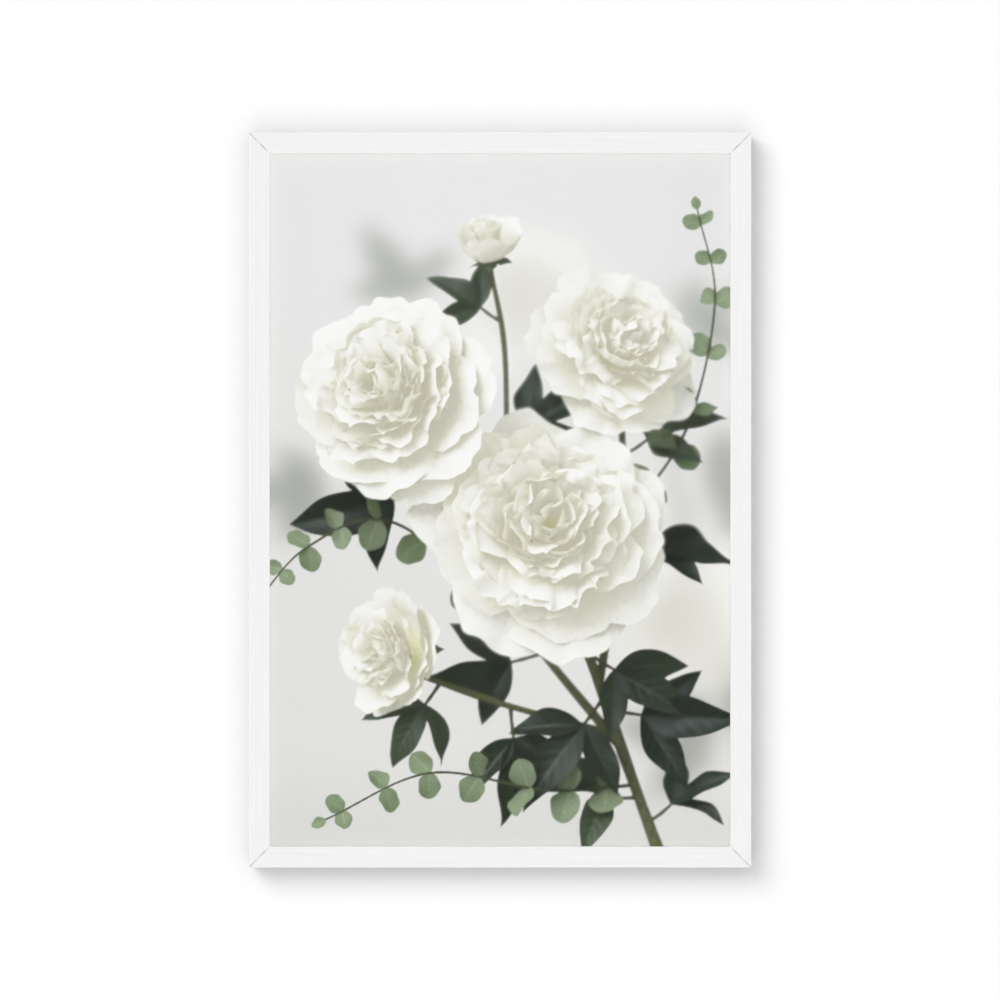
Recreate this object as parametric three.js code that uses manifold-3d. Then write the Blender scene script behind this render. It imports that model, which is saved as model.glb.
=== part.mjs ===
// A print in a narrow white wooden frame, for hanging upright on a wall.
//
// Millimetres, +Z up. The picture faces -Y, the wall is the plane y = 0, and the origin is where
// the wall's nail meets the wall, under the middle notch of the hanger.

import * as THREE from "three";
import { mergeVertices } from "three/addons/utils/BufferGeometryUtils.js";
import Module from "manifold-3d";

const wasm = await Module();
wasm.setup();

// ---- Driving dimensions ----------------------------------------------------------------------

// The stack in the rebate: glass, print and board are all cut to one standard size.
const SHEET_WIDTH = 400;
const SHEET_HEIGHT = 600;
const GLASS_THICKNESS = 2;
const PRINT_THICKNESS = 0.3;
const BOARD_THICKNESS = 3;
const SHEET_PLAY = 1; // room round the stack, on every side
const AIR = 0.3; // the gap between pieces that touch on the real frame

// The moulding.
const RAIL_FACE = 18;
const RAIL_DEPTH = 22;
const LIP_WIDTH = 3;
const LIP_THICKNESS = 2.5;
const FACE_EASING = 0.5; // radius of the two front edges
const BACK_EASING = 0.5; // radius of the outer back edge
const MITRE_GAP = 0.3;

// The v-nails in each corner joint.
const V_NAIL_INSETS = [3.5, 8.8]; // from the frame's outer corner to the outside of the nail
const V_NAIL_LEG = 5;
const V_NAIL_STEEL = 0.6;
const V_NAIL_HEIGHT = 10;
const V_NAIL_SUNK = 0.3; // below the rail's back

// The flat tabs that hold the stack in.
const TAB_WIDTH = 7;
const TAB_STEEL = 0.6;
const TAB_IN_WOOD = 6;
const TAB_OVER_BOARD = 9;
const TAB_POINT = 3.5; // length of the tapered end
const TAB_TIP_WIDTH = 1.6;
const TAB_CORNER = 2; // radius at the free end
const SHORT_RAIL_TABS = [-110, 110]; // along the rail, from its middle
const LONG_RAIL_TABS = [-200, 0, 200];

// The sawtooth hanger and its nails.
const HANGER_LENGTH = 46;
const HANGER_HEIGHT = 10;
const HANGER_STEEL = 1;
const HANGER_FOOT = 8;
const HANGER_RAMP = 3;
const HANGER_RISE = 1.7; // from the feet up to the raised middle
const NOTCH_DEPTH = 2.5;
const NOTCH_PITCH = 3;
const NOTCHES = 7;
const NAIL_LENGTH = 12;
const NAIL_RADIUS = 0.8;
const NAIL_POINT = 2.4;
const NAIL_HEAD_RADIUS = 2;
const NAIL_HEAD_THICKNESS = 0.9;
const NAIL_SIDES = 16;

// The wall bumpers.
const BUMPER_RADIUS = 5;
const BUMPER_THICKNESS = 3;
const BUMPER_FLAT = 2.2; // radius of the flat spot that meets the wall
const BUMPER_RIM = 0.8; // height of its straight side
const BUMPER_INSET = 26; // from the frame's side to its centre
const BUMPER_SIDES = 32;

// ---- Worked out from them --------------------------------------------------------------------

const RAIL_BACK = RAIL_FACE - LIP_WIDTH;
const OUTER_WIDTH = SHEET_WIDTH + 2 * SHEET_PLAY + 2 * RAIL_BACK;
const OUTER_HEIGHT = SHEET_HEIGHT + 2 * SHEET_PLAY + 2 * RAIL_BACK;

// Depths behind the frame's front face.
const GLASS_FRONT = LIP_THICKNESS + AIR;
const PRINT_FRONT = GLASS_FRONT + GLASS_THICKNESS + AIR;
const BOARD_FRONT = PRINT_FRONT + PRINT_THICKNESS + AIR;
const TAB_FRONT = BOARD_FRONT + BOARD_THICKNESS + AIR;

// The bumpers hold the rails off the wall, and the middle notch bears on the nail at z = 0.
const BACK_Y = -(BUMPER_THICKNESS + AIR);
const FRONT_Y = BACK_Y - RAIL_DEPTH;
const HANGER_Z = HANGER_HEIGHT / 2 - NOTCH_DEPTH;
const TOP_Z = HANGER_Z + RAIL_BACK / 2;
const BOTTOM_Z = TOP_Z - OUTER_HEIGHT;
const CENTRE_Z = (TOP_Z + BOTTOM_Z) / 2;
const QUARTER_TURN = Math.PI / 2;

// ---- Materials -------------------------------------------------------------------------------

const whitePaint = { color: 0xefeeec, roughness: 0.5, metalness: 0 };
const clearGlass = { color: 0xf4f8f6, roughness: 0.05, metalness: 0, transparent: true, opacity: 0.15 };
const printedPaper = { color: 0xc9cac6, roughness: 0.75, metalness: 0 };
const hardboard = { color: 0x7a5a3e, roughness: 0.8, metalness: 0 };
const zincedSteel = { color: 0xb4b6b8, roughness: 0.4, metalness: 1 };
const brassedSteel = { color: 0xc2a25c, roughness: 0.35, metalness: 1 };
const greyRubber = { color: 0xc8c8c6, roughness: 0.6, metalness: 0 };

// ---- Helpers ---------------------------------------------------------------------------------

function named(name, geometry, finish) {
  const mesh = new THREE.Mesh(geometry, new THREE.MeshStandardMaterial(finish));
  mesh.name = name;
  return mesh;
}

function solidOf(geometry) {
  const bare = geometry.clone();
  bare.deleteAttribute("normal");
  bare.deleteAttribute("uv");
  const merged = mergeVertices(bare, 1e-4);
  return new wasm.Manifold(
    new wasm.Mesh({
      numProp: 3,
      vertProperties: merged.getAttribute("position").array,
      triVerts: new Uint32Array(merged.index.array),
    }),
  );
}

function geometryOf(solid) {
  const mesh = solid.getMesh();
  const geometry = new THREE.BufferGeometry();
  geometry.setAttribute("position", new THREE.BufferAttribute(mesh.vertProperties, 3));
  geometry.setIndex(new THREE.BufferAttribute(mesh.triVerts, 1));
  geometry.computeVertexNormals();
  return geometry;
}

function cut(geometry, cutters) {
  let solid = solidOf(geometry);
  for (const cutter of cutters) {
    solid = solid.subtract(solidOf(cutter));
  }
  return geometryOf(solid);
}

// An outline drawn in x and z, as seen from the front, made into a plate from y = front backwards.
function plate(outline, front, thickness) {
  return new THREE.ExtrudeGeometry(outline, { depth: thickness, bevelEnabled: false, curveSegments: 5 })
    .rotateX(QUARTER_TURN)
    .translate(0, front + thickness, 0);
}

function polygon(points) {
  return new THREE.Shape(points.map(([x, z]) => new THREE.Vector2(x, z)));
}

// A turned piece along y: its profile lists [radius, y] from the front of the axis to the back.
function turned(profile, sides) {
  return new THREE.LatheGeometry(profile.map(([radius, y]) => new THREE.Vector2(radius, y)), sides);
}

// ---- V-nails ---------------------------------------------------------------------------------

// Seen from the front at the upper right corner, whose outer point is the outline's origin. The
// nail's point is towards that corner, and a leg runs along each rail.
function vNailOutline(inset, clearance) {
  const outside = -inset + clearance;
  const inside = -inset - V_NAIL_STEEL - clearance;
  const end = -inset - V_NAIL_LEG - clearance;
  return polygon([
    [outside, outside],
    [end, outside],
    [end, inside],
    [inside, inside],
    [inside, end],
    [outside, end],
  ]);
}

function vNailGeometry(inset) {
  const front = RAIL_DEPTH - V_NAIL_SUNK - V_NAIL_HEIGHT;
  return plate(vNailOutline(inset, 0), front, V_NAIL_HEIGHT);
}

function vNailSlot(inset) {
  const front = RAIL_DEPTH - V_NAIL_SUNK - V_NAIL_HEIGHT - AIR;
  return plate(vNailOutline(inset, AIR), front, RAIL_DEPTH);
}

// ---- Tabs ------------------------------------------------------------------------------------

// Seen from the front on the top rail, whose outer edge is z = 0. The point is in the wood, and
// the free end hangs over the board.
function tabOutline(clearance) {
  const side = TAB_WIDTH / 2 + clearance;
  const tip = TAB_TIP_WIDTH / 2 + clearance;
  const tipZ = -RAIL_BACK + TAB_IN_WOOD + clearance;
  const shoulderZ = tipZ - TAB_POINT;
  const endZ = -RAIL_BACK - TAB_OVER_BOARD - clearance;
  const outline = new THREE.Shape();
  outline.moveTo(-tip, tipZ);
  outline.lineTo(-side, shoulderZ);
  outline.lineTo(-side, endZ + TAB_CORNER);
  outline.absarc(-side + TAB_CORNER, endZ + TAB_CORNER, TAB_CORNER, Math.PI, 1.5 * Math.PI, false);
  outline.absarc(side - TAB_CORNER, endZ + TAB_CORNER, TAB_CORNER, 1.5 * Math.PI, 2 * Math.PI, false);
  outline.lineTo(side, shoulderZ);
  outline.lineTo(tip, tipZ);
  return outline;
}

function tabGeometry() {
  return plate(tabOutline(0), TAB_FRONT, TAB_STEEL);
}

function tabSlot(along) {
  return plate(tabOutline(AIR), TAB_FRONT - AIR, TAB_STEEL + 2 * AIR).translate(along, 0, 0);
}

// ---- Rails -----------------------------------------------------------------------------------

// The moulding's section: x is the distance in from the outer edge, y the depth from the face.
function railSection() {
  const section = new THREE.Shape();
  section.moveTo(0, FACE_EASING);
  section.absarc(FACE_EASING, FACE_EASING, FACE_EASING, Math.PI, 1.5 * Math.PI, false);
  section.absarc(RAIL_FACE - FACE_EASING, FACE_EASING, FACE_EASING, 1.5 * Math.PI, 2 * Math.PI, false);
  section.lineTo(RAIL_FACE, LIP_THICKNESS);
  section.lineTo(RAIL_BACK, LIP_THICKNESS);
  section.lineTo(RAIL_BACK, RAIL_DEPTH);
  section.lineTo(BACK_EASING, RAIL_DEPTH);
  section.absarc(BACK_EASING, RAIL_DEPTH - BACK_EASING, BACK_EASING, QUARTER_TURN, Math.PI, false);
  return section;
}

// The top rail, its length along x, its outer edge at z = 0 and its face at y = 0. Each end is
// mitred: a point as far in from the outer edge is as much nearer to the rail's middle.
function mouldingGeometry(length) {
  const bar = new THREE.ExtrudeGeometry(railSection(), { depth: 1, bevelEnabled: false, curveSegments: 5 });
  const place = bar.getAttribute("position");
  const mitreSetback = (MITRE_GAP / 2) * Math.SQRT2;
  for (let i = 0; i < place.count; i += 1) {
    const inward = place.getX(i);
    const depth = place.getY(i);
    const end = place.getZ(i) > 0.5 ? 1 : -1;
    place.setXYZ(i, end * (length / 2 - inward - mitreSetback), depth, -inward);
  }
  return bar;
}

function railGeometry(length, tabPlaces, holes) {
  const cutters = [...holes];
  for (const inset of V_NAIL_INSETS) {
    cutters.push(vNailSlot(inset).translate(length / 2, 0, 0));
    cutters.push(vNailSlot(inset).rotateY(-QUARTER_TURN).translate(-length / 2, 0, 0));
  }
  for (const along of tabPlaces) {
    cutters.push(tabSlot(along));
  }
  return cut(mouldingGeometry(length), cutters);
}

// One side of the frame, from the top one round clockwise as seen from the front: its rail with
// the tabs in it, and the v-nails in the corner at its right-hand end.
function side({ name, turns, length, tabPlaces, corner, holes }) {
  const group = new THREE.Group();
  group.add(named("rail_" + name, railGeometry(length, tabPlaces, holes), whitePaint));
  tabPlaces.forEach((along, i) => {
    const tab = named("tab_" + name + "_" + (i + 1), tabGeometry(), zincedSteel);
    tab.position.x = along;
    group.add(tab);
  });
  V_NAIL_INSETS.forEach((inset, i) => {
    const place = i === 0 ? "outer" : "inner";
    const nail = named("v_nail_" + corner + "_" + place, vNailGeometry(inset), zincedSteel);
    nail.position.x = length / 2;
    group.add(nail);
  });
  group.rotation.y = turns * QUARTER_TURN;
  const reach = turns % 2 === 0 ? OUTER_HEIGHT / 2 : OUTER_WIDTH / 2;
  const outward = [[0, 1], [1, 0], [0, -1], [-1, 0]][turns];
  group.position.set(outward[0] * reach, FRONT_Y, CENTRE_Z + outward[1] * reach);
  return group;
}

// ---- The stack: glass, print and board -------------------------------------------------------

function sheet(name, front, thickness, finish) {
  const mesh = named(name, new THREE.BoxGeometry(SHEET_WIDTH, thickness, SHEET_HEIGHT), finish);
  mesh.position.set(0, FRONT_Y + front + thickness / 2, CENTRE_Z);
  return mesh;
}

// ---- Hanger ----------------------------------------------------------------------------------

const HANGER_FRONT = BACK_Y + AIR; // the feet's face towards the rail
const HANGER_NAIL_X = (HANGER_LENGTH - HANGER_FOOT) / 2;

// The bent strip: its outline seen from above, made as high as the strip.
function hangerStrip() {
  const end = HANGER_LENGTH / 2;
  const foot = end - HANGER_FOOT;
  const raised = foot - HANGER_RAMP;
  const low = HANGER_FRONT;
  const high = HANGER_FRONT + HANGER_RISE;
  const outline = polygon([
    [-end, low],
    [-foot, low],
    [-raised, high],
    [raised, high],
    [foot, low],
    [end, low],
    [end, low + HANGER_STEEL],
    [foot, low + HANGER_STEEL],
    [raised, high + HANGER_STEEL],
    [-raised, high + HANGER_STEEL],
    [-foot, low + HANGER_STEEL],
    [-end, low + HANGER_STEEL],
  ]);
  return new THREE.ExtrudeGeometry(outline, { depth: HANGER_HEIGHT, bevelEnabled: false })
    .translate(0, 0, HANGER_Z - HANGER_HEIGHT / 2);
}

function hangerNotch(index) {
  const middle = (index - (NOTCHES - 1) / 2) * NOTCH_PITCH;
  const below = 1; // how far the cutter reaches under the strip
  const halfMouth = NOTCH_PITCH / 2 - 0.2;
  const slope = halfMouth / NOTCH_DEPTH;
  const halfBelow = halfMouth + below * slope;
  const edgeZ = HANGER_Z - HANGER_HEIGHT / 2;
  const outline = polygon([
    [middle, edgeZ + NOTCH_DEPTH],
    [middle - halfBelow, edgeZ - below],
    [middle + halfBelow, edgeZ - below],
  ]);
  return plate(outline, BACK_Y, -BACK_Y);
}

// A plain round hole along y for a hanger nail, from the front given to the wall.
function nailHole(x, z, front) {
  const length = -front;
  return new THREE.CylinderGeometry(NAIL_RADIUS + AIR, NAIL_RADIUS + AIR, length, NAIL_SIDES)
    .translate(x, front + length / 2, z);
}

function hangerGeometry() {
  const cutters = [];
  for (let i = 0; i < NOTCHES; i += 1) {
    cutters.push(hangerNotch(i));
  }
  for (const x of [-HANGER_NAIL_X, HANGER_NAIL_X]) {
    cutters.push(nailHole(x, HANGER_Z, BACK_Y));
  }
  return cut(hangerStrip(), cutters);
}

// The nail's head bears on the hanger's foot, and its shank goes forward into the rail.
const NAIL_SEAT_Y = HANGER_FRONT + HANGER_STEEL + AIR;
const NAIL_TIP_Y = NAIL_SEAT_Y - NAIL_LENGTH;

function hangerNail() {
  return turned(
    [
      [0, NAIL_TIP_Y],
      [NAIL_RADIUS, NAIL_TIP_Y + NAIL_POINT],
      [NAIL_RADIUS, NAIL_SEAT_Y],
      [NAIL_HEAD_RADIUS, NAIL_SEAT_Y],
      [NAIL_HEAD_RADIUS, NAIL_SEAT_Y + NAIL_HEAD_THICKNESS / 3],
      [NAIL_HEAD_RADIUS * 0.8, NAIL_SEAT_Y + NAIL_HEAD_THICKNESS * 0.75],
      [NAIL_HEAD_RADIUS * 0.4, NAIL_SEAT_Y + NAIL_HEAD_THICKNESS],
      [0, NAIL_SEAT_Y + NAIL_HEAD_THICKNESS],
    ],
    NAIL_SIDES,
  );
}

// The top rail's pilot holes, in the rail's own frame.
function pilotHoles() {
  const bottom = NAIL_TIP_Y - AIR - FRONT_Y;
  const length = RAIL_DEPTH - bottom + 1;
  return [-HANGER_NAIL_X, HANGER_NAIL_X].map((x) =>
    new THREE.CylinderGeometry(NAIL_RADIUS + AIR, NAIL_RADIUS + AIR, length, NAIL_SIDES)
      .translate(x, bottom + length / 2, HANGER_Z - TOP_Z),
  );
}

// ---- Wall bumpers ----------------------------------------------------------------------------

function bumperGeometry() {
  const dome = [];
  const steps = 6;
  for (let i = 0; i <= steps; i += 1) {
    const angle = (i / steps) * QUARTER_TURN;
    const radius = BUMPER_FLAT + (BUMPER_RADIUS - BUMPER_FLAT) * Math.cos(angle);
    const height = BUMPER_RIM + (BUMPER_THICKNESS - BUMPER_RIM) * Math.sin(angle);
    dome.push([radius, height - BUMPER_THICKNESS]);
  }
  return turned([[0, -BUMPER_THICKNESS], [BUMPER_RADIUS, -BUMPER_THICKNESS], ...dome, [0, 0]], BUMPER_SIDES);
}

// ---- The whole frame -------------------------------------------------------------------------

const framedPrint = new THREE.Group();

framedPrint.add(
  side({
    name: "top",
    turns: 0,
    length: OUTER_WIDTH,
    tabPlaces: SHORT_RAIL_TABS,
    corner: "top_right",
    holes: pilotHoles(),
  }),
  side({
    name: "right",
    turns: 1,
    length: OUTER_HEIGHT,
    tabPlaces: LONG_RAIL_TABS,
    corner: "bottom_right",
    holes: [],
  }),
  side({
    name: "bottom",
    turns: 2,
    length: OUTER_WIDTH,
    tabPlaces: SHORT_RAIL_TABS,
    corner: "bottom_left",
    holes: [],
  }),
  side({
    name: "left",
    turns: 3,
    length: OUTER_HEIGHT,
    tabPlaces: LONG_RAIL_TABS,
    corner: "top_left",
    holes: [],
  }),
);

framedPrint.add(
  sheet("glass", GLASS_FRONT, GLASS_THICKNESS, clearGlass),
  sheet("print", PRINT_FRONT, PRINT_THICKNESS, printedPaper),
  sheet("backing_board", BOARD_FRONT, BOARD_THICKNESS, hardboard),
);

framedPrint.add(named("hanger", hangerGeometry(), brassedSteel));

for (const [place, toRight] of [["left", -1], ["right", 1]]) {
  const nail = named("hanger_nail_" + place, hangerNail(), brassedSteel);
  nail.position.set(toRight * HANGER_NAIL_X, 0, HANGER_Z);
  const bumper = named("bumper_" + place, bumperGeometry(), greyRubber);
  bumper.position.set(toRight * (OUTER_WIDTH / 2 - BUMPER_INSET), 0, BOTTOM_Z + RAIL_BACK / 2);
  framedPrint.add(nail, bumper);
}

export default framedPrint;
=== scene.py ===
# A print in a narrow white wooden frame, hung on a pale wall and seen straight from the front.
#
# Metres, in the frame of the CAD model: +Z up, the picture faces -Y, the wall is the plane y = 0.
# The printed picture is worked out here: blossoms, leaves and stems are modelled as surfaces,
# light is traced over them, and what a camera would record is kept as colours on the sheet.

import math

import bmesh
import bpy
import numpy as np
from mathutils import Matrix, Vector
from mathutils.bvhtree import BVHTree


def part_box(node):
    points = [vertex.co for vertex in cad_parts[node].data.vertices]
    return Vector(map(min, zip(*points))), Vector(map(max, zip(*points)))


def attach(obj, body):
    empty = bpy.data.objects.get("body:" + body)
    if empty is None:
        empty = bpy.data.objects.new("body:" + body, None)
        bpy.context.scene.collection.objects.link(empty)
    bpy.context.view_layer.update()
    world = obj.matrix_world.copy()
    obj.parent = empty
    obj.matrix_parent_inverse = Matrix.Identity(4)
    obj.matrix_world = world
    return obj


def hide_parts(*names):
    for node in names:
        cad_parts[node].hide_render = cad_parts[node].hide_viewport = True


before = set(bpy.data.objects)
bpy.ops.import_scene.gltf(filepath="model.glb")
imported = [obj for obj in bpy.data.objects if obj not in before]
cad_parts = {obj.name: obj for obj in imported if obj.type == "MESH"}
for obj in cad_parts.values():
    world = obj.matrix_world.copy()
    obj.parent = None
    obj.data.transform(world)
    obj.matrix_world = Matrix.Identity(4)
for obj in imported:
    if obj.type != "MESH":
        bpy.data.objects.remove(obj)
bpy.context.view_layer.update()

MM = 0.001
RAILS = ("rail_top", "rail_right", "rail_bottom", "rail_left")
FACE_WIDE = 18 * MM
LIP_THICKNESS = 2.5 * MM
JOINT_GAP = 0.3 * MM

OUTER_LOW = Vector(min(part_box(rail)[0][axis] for rail in RAILS) for axis in range(3))
OUTER_HIGH = Vector(max(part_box(rail)[1][axis] for rail in RAILS) for axis in range(3))
FRAME_CENTRE = (OUTER_LOW + OUTER_HIGH) / 2
FRONT_Y = OUTER_LOW.y


# ---- Camera ----

PHOTO_SIDE = 1000  # pixels
FRAME_WIDE_PX, FRAME_HIGH_PX = 503.3, 734  # the frame's outside in the photo, which it centres
LENS_MM, SENSOR_MM = 150, 36


def viewpoint():
    """Straight in front of the frame, so far off that it is as large as in the photo."""
    wide = (OUTER_HIGH.x - OUTER_LOW.x) / FRAME_WIDE_PX
    high = (OUTER_HIGH.z - OUTER_LOW.z) / FRAME_HIGH_PX
    shown = PHOTO_SIDE * (wide + high) / 2
    return Vector((FRAME_CENTRE.x, FRONT_Y - shown * LENS_MM / SENSOR_MM, FRAME_CENTRE.z))


def make_camera():
    data = bpy.data.cameras.new("camera")
    data.lens = LENS_MM
    data.sensor_width = SENSOR_MM
    camera = add_object("camera", data)
    camera.location = viewpoint()
    camera.rotation_euler = (math.pi / 2, 0, 0)
    bpy.context.scene.camera = camera


# ---- Materials and objects ----


class Shader:
    """A new node material, with short calls to add and join nodes."""

    def __init__(self, name):
        self.material = bpy.data.materials.new(name)
        self.material.use_nodes = True
        self.tree = self.material.node_tree
        self.body = self.tree.nodes["Principled BSDF"]
        self.output = self.tree.nodes["Material Output"]

    def put(self, socket, value):
        """Joins an output, or a node's first output, to this input, or sets its value."""
        if isinstance(value, bpy.types.Node):
            value = value.outputs[0]
        if isinstance(value, bpy.types.NodeSocket):
            self.tree.links.new(value, socket)
        elif isinstance(value, tuple) and socket.type == "RGBA" and len(value) == 3:
            socket.default_value = (*value, 1)
        else:
            socket.default_value = value

    def node(self, kind, inputs=(), **settings):
        """A new node. Its inputs are given by name or number, or else in their own order."""
        made = self.tree.nodes.new("ShaderNode" + kind)
        for name, value in settings.items():
            setattr(made, name, value)
        for key, value in inputs.items() if isinstance(inputs, dict) else enumerate(inputs):
            self.put(made.inputs[key], value)
        return made

    def surface(self, colour, rough, bumps=None, **others):
        """Sets the colour, the roughness, the bumps' pattern, depth and strength, and others."""
        inputs = {"Base_Color": colour, "Roughness": rough, **others}
        if bumps:
            height, depth, strength = bumps
            inputs["Normal"] = self.node("Bump", {"Height": height, "Distance": depth, "Strength": strength})
        for key, value in inputs.items():
            self.put(self.body.inputs[key.replace("_", " ")], value)
        return self.material

    def show(self, node):
        """Makes this node the surface."""
        self.put(self.output.inputs["Surface"], node)
        return self.material

    def place(self, stretch=(1, 1, 1), shift=(0, 0, 0)):
        """The piece's own coordinates, stretched and shifted."""
        at = self.node("TexCoord").outputs["Object"]
        return self.node("Mapping", {"Vector": at, "Scale": stretch, "Location": shift}).outputs[0]

    def split(self, vector=None):
        """The three numbers in a vector or colour, or else in the piece's own coordinates."""
        if vector is None:
            vector = self.node("TexCoord").outputs["Object"]
        return self.node("SeparateXYZ", (vector,)).outputs

    def noise(self, place, scale, detail, rough, distort=0):
        form = {"Scale": scale, "Detail": detail, "Roughness": rough, "Distortion": distort}
        return self.node("TexNoise", {"Vector": place, **form}).outputs["Fac"]

    def flakes(self, place, scale):
        """One number for each cell of an uneven tiling."""
        cells = self.node("TexVoronoi", {"Vector": place, "Scale": scale})
        return self.split(cells.outputs["Color"])[0]

    def math(self, how, a, b=0, c=0, clamp=False):
        return self.node("Math", (a, b, c), operation=how, use_clamp=clamp).outputs[0]

    def spread(self, value, low, high, to_low=0, to_high=1):
        return self.node("MapRange", (value, low, high, to_low, to_high), clamp=True).outputs[0]

    def mix(self, share, a, b, how="MIX"):
        return self.node("Mix", {0: share, 6: a, 7: b}, data_type="RGBA", blend_type=how).outputs[2]

    def between(self, pattern, low, high):
        """From one colour or number to another, as the pattern goes through its middle range."""
        if isinstance(low, tuple):
            return self.mix(self.spread(pattern, 0.3, 0.7), low, high)
        return self.spread(pattern, 0.3, 0.7, low, high)

    def stain(self, base, pattern, low, high, share, colour):
        """The base with up to a share of a colour over it, as the pattern goes from low to high."""
        return self.mix(self.spread(pattern, low, high, 0, share), base, colour)


def dress(node, material):
    """Gives a CAD node one material."""
    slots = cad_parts[node].data.materials
    slots.clear()
    slots.append(material)


def add_object(name, data):
    made = bpy.data.objects.new(name, data)
    bpy.context.scene.collection.objects.link(made)
    return made


def add_mesh(name, points, faces, material):
    mesh = bpy.data.meshes.new(name)
    mesh.from_pydata(points, [], faces)
    mesh.materials.append(material)
    return add_object(name, mesh)


# ---- The wooden rails ----

FINE_GRAIN, BROAD_GRAIN = (9, 650), (5, 220)  # patterns a metre, along and across a rail

# Where the painted shade of the mitre joints' cracks lies, measured in from the frame's outer edge.
SHADED_TIP = (0.5 * MM, 3 * MM)
SHADED_END = (6 * MM, 8.5 * MM)
SHADED_BAND, SHADED_BAND_REACH = 12 * MM, (0.8 * MM, 4.5 * MM)
LEAST_SHADE = 0.12


def inset_from_edge(shader, axis, sign):
    """How far in from the frame's outer edge on one side each point lies."""
    edge = OUTER_HIGH[axis] if sign > 0 else OUTER_LOW[axis]
    return shader.math("MULTIPLY_ADD", shader.split()[axis], -sign, sign * edge)


def joint_crack_shade(shader, inset):
    """Painted shade along a mitre joint's crack: most at its outer end, and again past its middle."""
    outer = shader.spread(inset, *SHADED_END, 0.55, LEAST_SHADE)
    tip = shader.spread(inset, *SHADED_TIP, 0.3, 0)
    from_band = shader.math("ABSOLUTE", shader.math("SUBTRACT", inset, SHADED_BAND))
    inner = shader.spread(from_band, *SHADED_BAND_REACH, 0.85, LEAST_SHADE)
    most = shader.math("MAXIMUM", shader.math("ADD", outer, tip), inner)
    broken = shader.spread(shader.noise(shader.place(), 330, 2, 0.5), 0.4, 0.6, 0.72, 1.12)
    return shader.math("MULTIPLY", most, broken, clamp=True)


def painted_wood(name, axis, sign, seed):
    """White paint on the faces that show, and bare wood on the back and in the rebate.

    axis and sign say which way the rail's outer side faces, and seed shifts its pattern.
    """
    shader = Shader("white_paint_" + name)
    along = 2 - axis
    shift = (seed * 0.37, seed * 0.71, seed * 0.53)
    fine, broad = (
        shader.place(tuple(ahead if k == along else across for k in range(3)), shift)
        for ahead, across in (FINE_GRAIN, BROAD_GRAIN)
    )
    streaks = shader.noise(fine, 1, 3, 0.6)
    bands = shader.noise(broad, 1, 3, 0.5)
    blotches = shader.noise(shader.place((1, 1, 1), shift), 45, 3, 0.6)
    white = shader.between(streaks, (0.755, 0.755, 0.754), (0.815, 0.815, 0.814))
    white = shader.stain(white, bands, 0.35, 0.65, 0.55, (0.803, 0.803, 0.802))
    white = shader.stain(white, blotches, 0.42, 0.68, 0.35, (0.77, 0.771, 0.77))

    # How far in from the outer edge, and how far from the mitre joint, each point lies.
    at = shader.split()
    inset = inset_from_edge(shader, axis, sign)
    half = (OUTER_HIGH[along] - OUTER_LOW[along]) / 2
    from_middle = shader.math("ABSOLUTE", shader.math("SUBTRACT", at[along], FRAME_CENTRE[along]))
    from_end = shader.math("SUBTRACT", half, from_middle)
    from_joint = shader.math("ABSOLUTE", shader.math("SUBTRACT", from_end, inset))
    # Painted shade: the face turns grey just beside each mitre joint, as the crack's shadow.
    beside = shader.spread(from_joint, 0.25 * MM, 0.85 * MM, 1, 0)
    white = shader.mix(shader.math("MULTIPLY", beside, joint_crack_shade(shader, inset)), white, (0.36, 0.36, 0.355))
    # Painted highlight: the paint is lighter along the outer edge, over about its first millimetre.
    arris_highlight = shader.spread(inset, 0.4 * MM, 1.1 * MM, 0.8, 0)
    white = shader.mix(arris_highlight, white, (0.86, 0.86, 0.86))

    ring = shader.noise(broad, 1.6, 5, 0.6, 0.6)
    bare = shader.between(ring, (0.46, 0.31, 0.175), (0.66, 0.5, 0.33))
    bare = shader.stain(bare, streaks, 0.35, 0.72, 0.55, (0.52, 0.36, 0.21))

    # The back is bare past a ragged edge of paint, and so is the rebate behind the lip.
    normal = shader.split(shader.node("NewGeometry").outputs["Normal"])
    ragged = shader.math("MULTIPLY_ADD", shader.noise(shader.place(), 420, 4, 0.7), 4 * MM, 1 * MM)
    on_back = shader.math("GREATER_THAN", normal["Y"], 0.5)
    past_paint = shader.math("MULTIPLY", shader.math("SUBTRACT", inset, ragged), 1 / (1.5 * MM), clamp=True)
    faces_in = shader.math("GREATER_THAN", shader.math("MULTIPLY", normal[axis], -sign), 0.9)
    behind_lip = shader.math("GREATER_THAN", at["Y"], FRONT_Y + LIP_THICKNESS + 0.05 * MM)
    bare_back = shader.math("MULTIPLY", on_back, past_paint)
    raw = shader.math("MAXIMUM", bare_back, shader.math("MULTIPLY", faces_in, behind_lip))
    grain = shader.math("MULTIPLY_ADD", streaks, 0.7, shader.math("MULTIPLY", bands, 0.6))
    return shader.surface(
        shader.mix(raw, white, bare),
        shader.math("MULTIPLY_ADD", raw, 0.28, shader.between(streaks, 0.42, 0.52)),
        (grain, 0.05 * MM, 0.55),
        Specular_IOR_Level=0.35,
    )


def finish_rails():
    for seed, (name, axis, sign) in enumerate(zip(RAILS, (2, 0, 2, 0), (1, 1, -1, -1)), 1):
        dress(name, painted_wood(name, axis, sign, seed))


FILL_KNOTS, FILL_STEPS = 9, 8  # how often the paint in a joint changes its level, and its steps
FILL_SUNK_MM = (0.03, 0.06, 0.25, 0.8)  # how deep it may lie below the rails' face
FILL_SHORT = 0.8 * MM  # how far it stops before either end of the joint
FILL_DEEP = 2 * MM
FILL_CLEAR = 0.01 * MM  # on each side


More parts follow.
